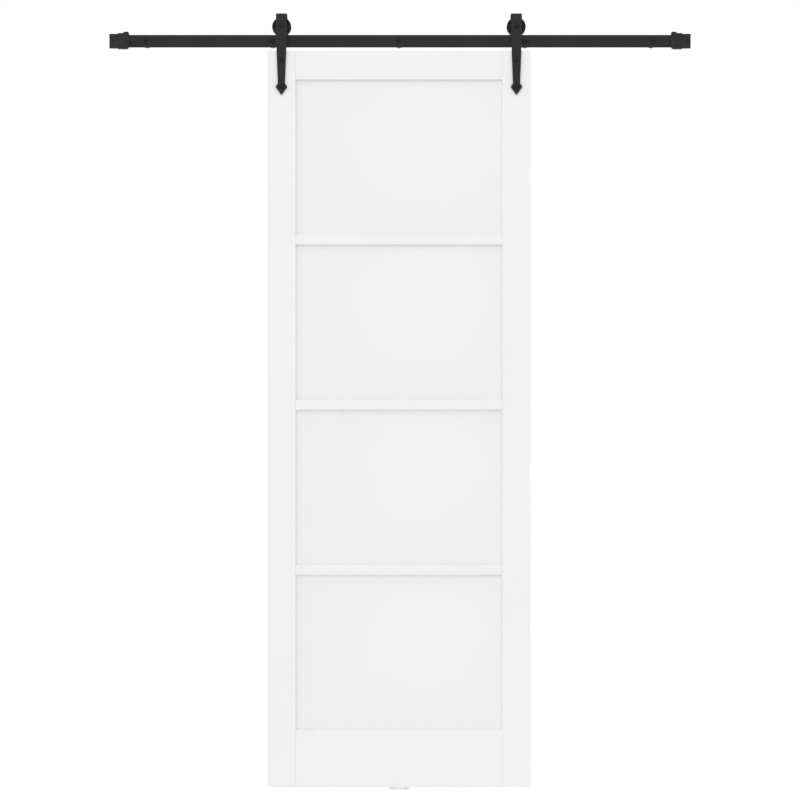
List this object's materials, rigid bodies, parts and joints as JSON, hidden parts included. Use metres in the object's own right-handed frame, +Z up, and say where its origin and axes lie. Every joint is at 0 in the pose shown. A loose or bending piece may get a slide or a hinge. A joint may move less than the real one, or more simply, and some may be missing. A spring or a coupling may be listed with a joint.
{
  "type": "sliding barn door",
  "caption": "Glazed barn door leaf on arrow-tailed strap hangers, rolling on a flat wall track with end stops and a floor guide.",
  "frame": {"origin": "on the wall plane, on the axis of the track's centre bolt", "axes": "+X along the track to the right as seen from the room, +Y into the wall, +Z up"},
  "size_m": [1.66, 0.1151, 2.2405],
  "materials": {
    "black_steel": "satin black powder coat",
    "black_bolt": "blackened steel",
    "black_nylon": "moulded nylon",
    "bumper_rubber": "matte",
    "bearing_steel": "ground",
    "zinc_steel": "zinc plated",
    "painted_wood": "white lacquer",
    "opal_glass": "milk-white, satin",
    "beech_dowel": "bare",
    "white_nylon": "moulded",
    "white_screw": "white painted steel"
  },
  "bodies": {
    "rail": {"track_bar": "black_steel", "wall_spacers": "black_steel", "wall_bolts": "black_bolt", "stop_sleeve_left": "black_steel", "stop_sleeve_right": "black_steel", "stop_collar_left": "black_steel", "stop_collar_right": "black_steel", "stop_bumper_left": "bumper_rubber", "stop_bumper_right": "bumper_rubber", "stop_screws": "black_bolt", "floor_guide": "white_nylon", "floor_guide_screws": "white_screw"},
    "leaf": {"stile_left": "painted_wood", "stile_right": "painted_wood", "top_rail": "painted_wood", "glazing_bar_1": "painted_wood", "glazing_bar_2": "painted_wood", "glazing_bar_3": "painted_wood", "bottom_rail": "painted_wood", "rail_dowels": "beech_dowel", "glass_pane_1": "opal_glass", "glass_pane_2": "opal_glass", "glass_pane_3": "opal_glass", "glass_pane_4": "opal_glass", "beads_upright": "painted_wood", "beads_level": "painted_wood", "setting_blocks": "black_nylon", "hanger_left": "black_steel", "hanger_right": "black_steel", "axle_bolt_left": "black_bolt", "axle_bolt_right": "black_bolt", "axle_nut_left": "zinc_steel", "axle_nut_right": "zinc_steel", "axle_bushes_left": "zinc_steel", "axle_bushes_right": "zinc_steel", "bearing_inner_left": "bearing_steel", "bearing_inner_right": "bearing_steel", "leaf_bolts": "black_bolt", "leaf_washers": "zinc_steel", "leaf_nuts": "zinc_steel", "anti_jump_disc_left": "black_nylon", "anti_jump_disc_right": "black_nylon", "anti_jump_screws": "zinc_steel"},
    "roller_left": {"wheel_left": "black_nylon", "bearing_outer_left": "bearing_steel", "bearing_balls_left": "bearing_steel", "bearing_shields_left": "bearing_steel", "circlip_left": "bearing_steel"},
    "roller_right": {"wheel_right": "black_nylon", "bearing_outer_right": "bearing_steel", "bearing_balls_right": "bearing_steel", "bearing_shields_right": "bearing_steel", "circlip_right": "bearing_steel"}
  },
  "joints": [
    {"name": "leaf_slide", "type": "slide", "parent": "rail", "child": "leaf", "axis": [1, 0, 0], "range_m": [-0.415, 0.421]},
    {"name": "roller_left_spin", "type": "hinge", "parent": "leaf", "child": "roller_left", "pos_m": [-0.335, -0.041, 0.04055], "axis": [0, 1, 0], "continuous": true},
    {"name": "roller_right_spin", "type": "hinge", "parent": "leaf", "child": "roller_right", "pos_m": [0.335, -0.041, 0.04055], "axis": [0, 1, 0], "continuous": true}
  ],
  "couplings": [
    {"joint": "roller_left_spin", "follows": "leaf_slide", "rad_per_m": 43.384},
    {"joint": "roller_right_spin", "follows": "leaf_slide", "rad_per_m": 43.384}
  ]
}
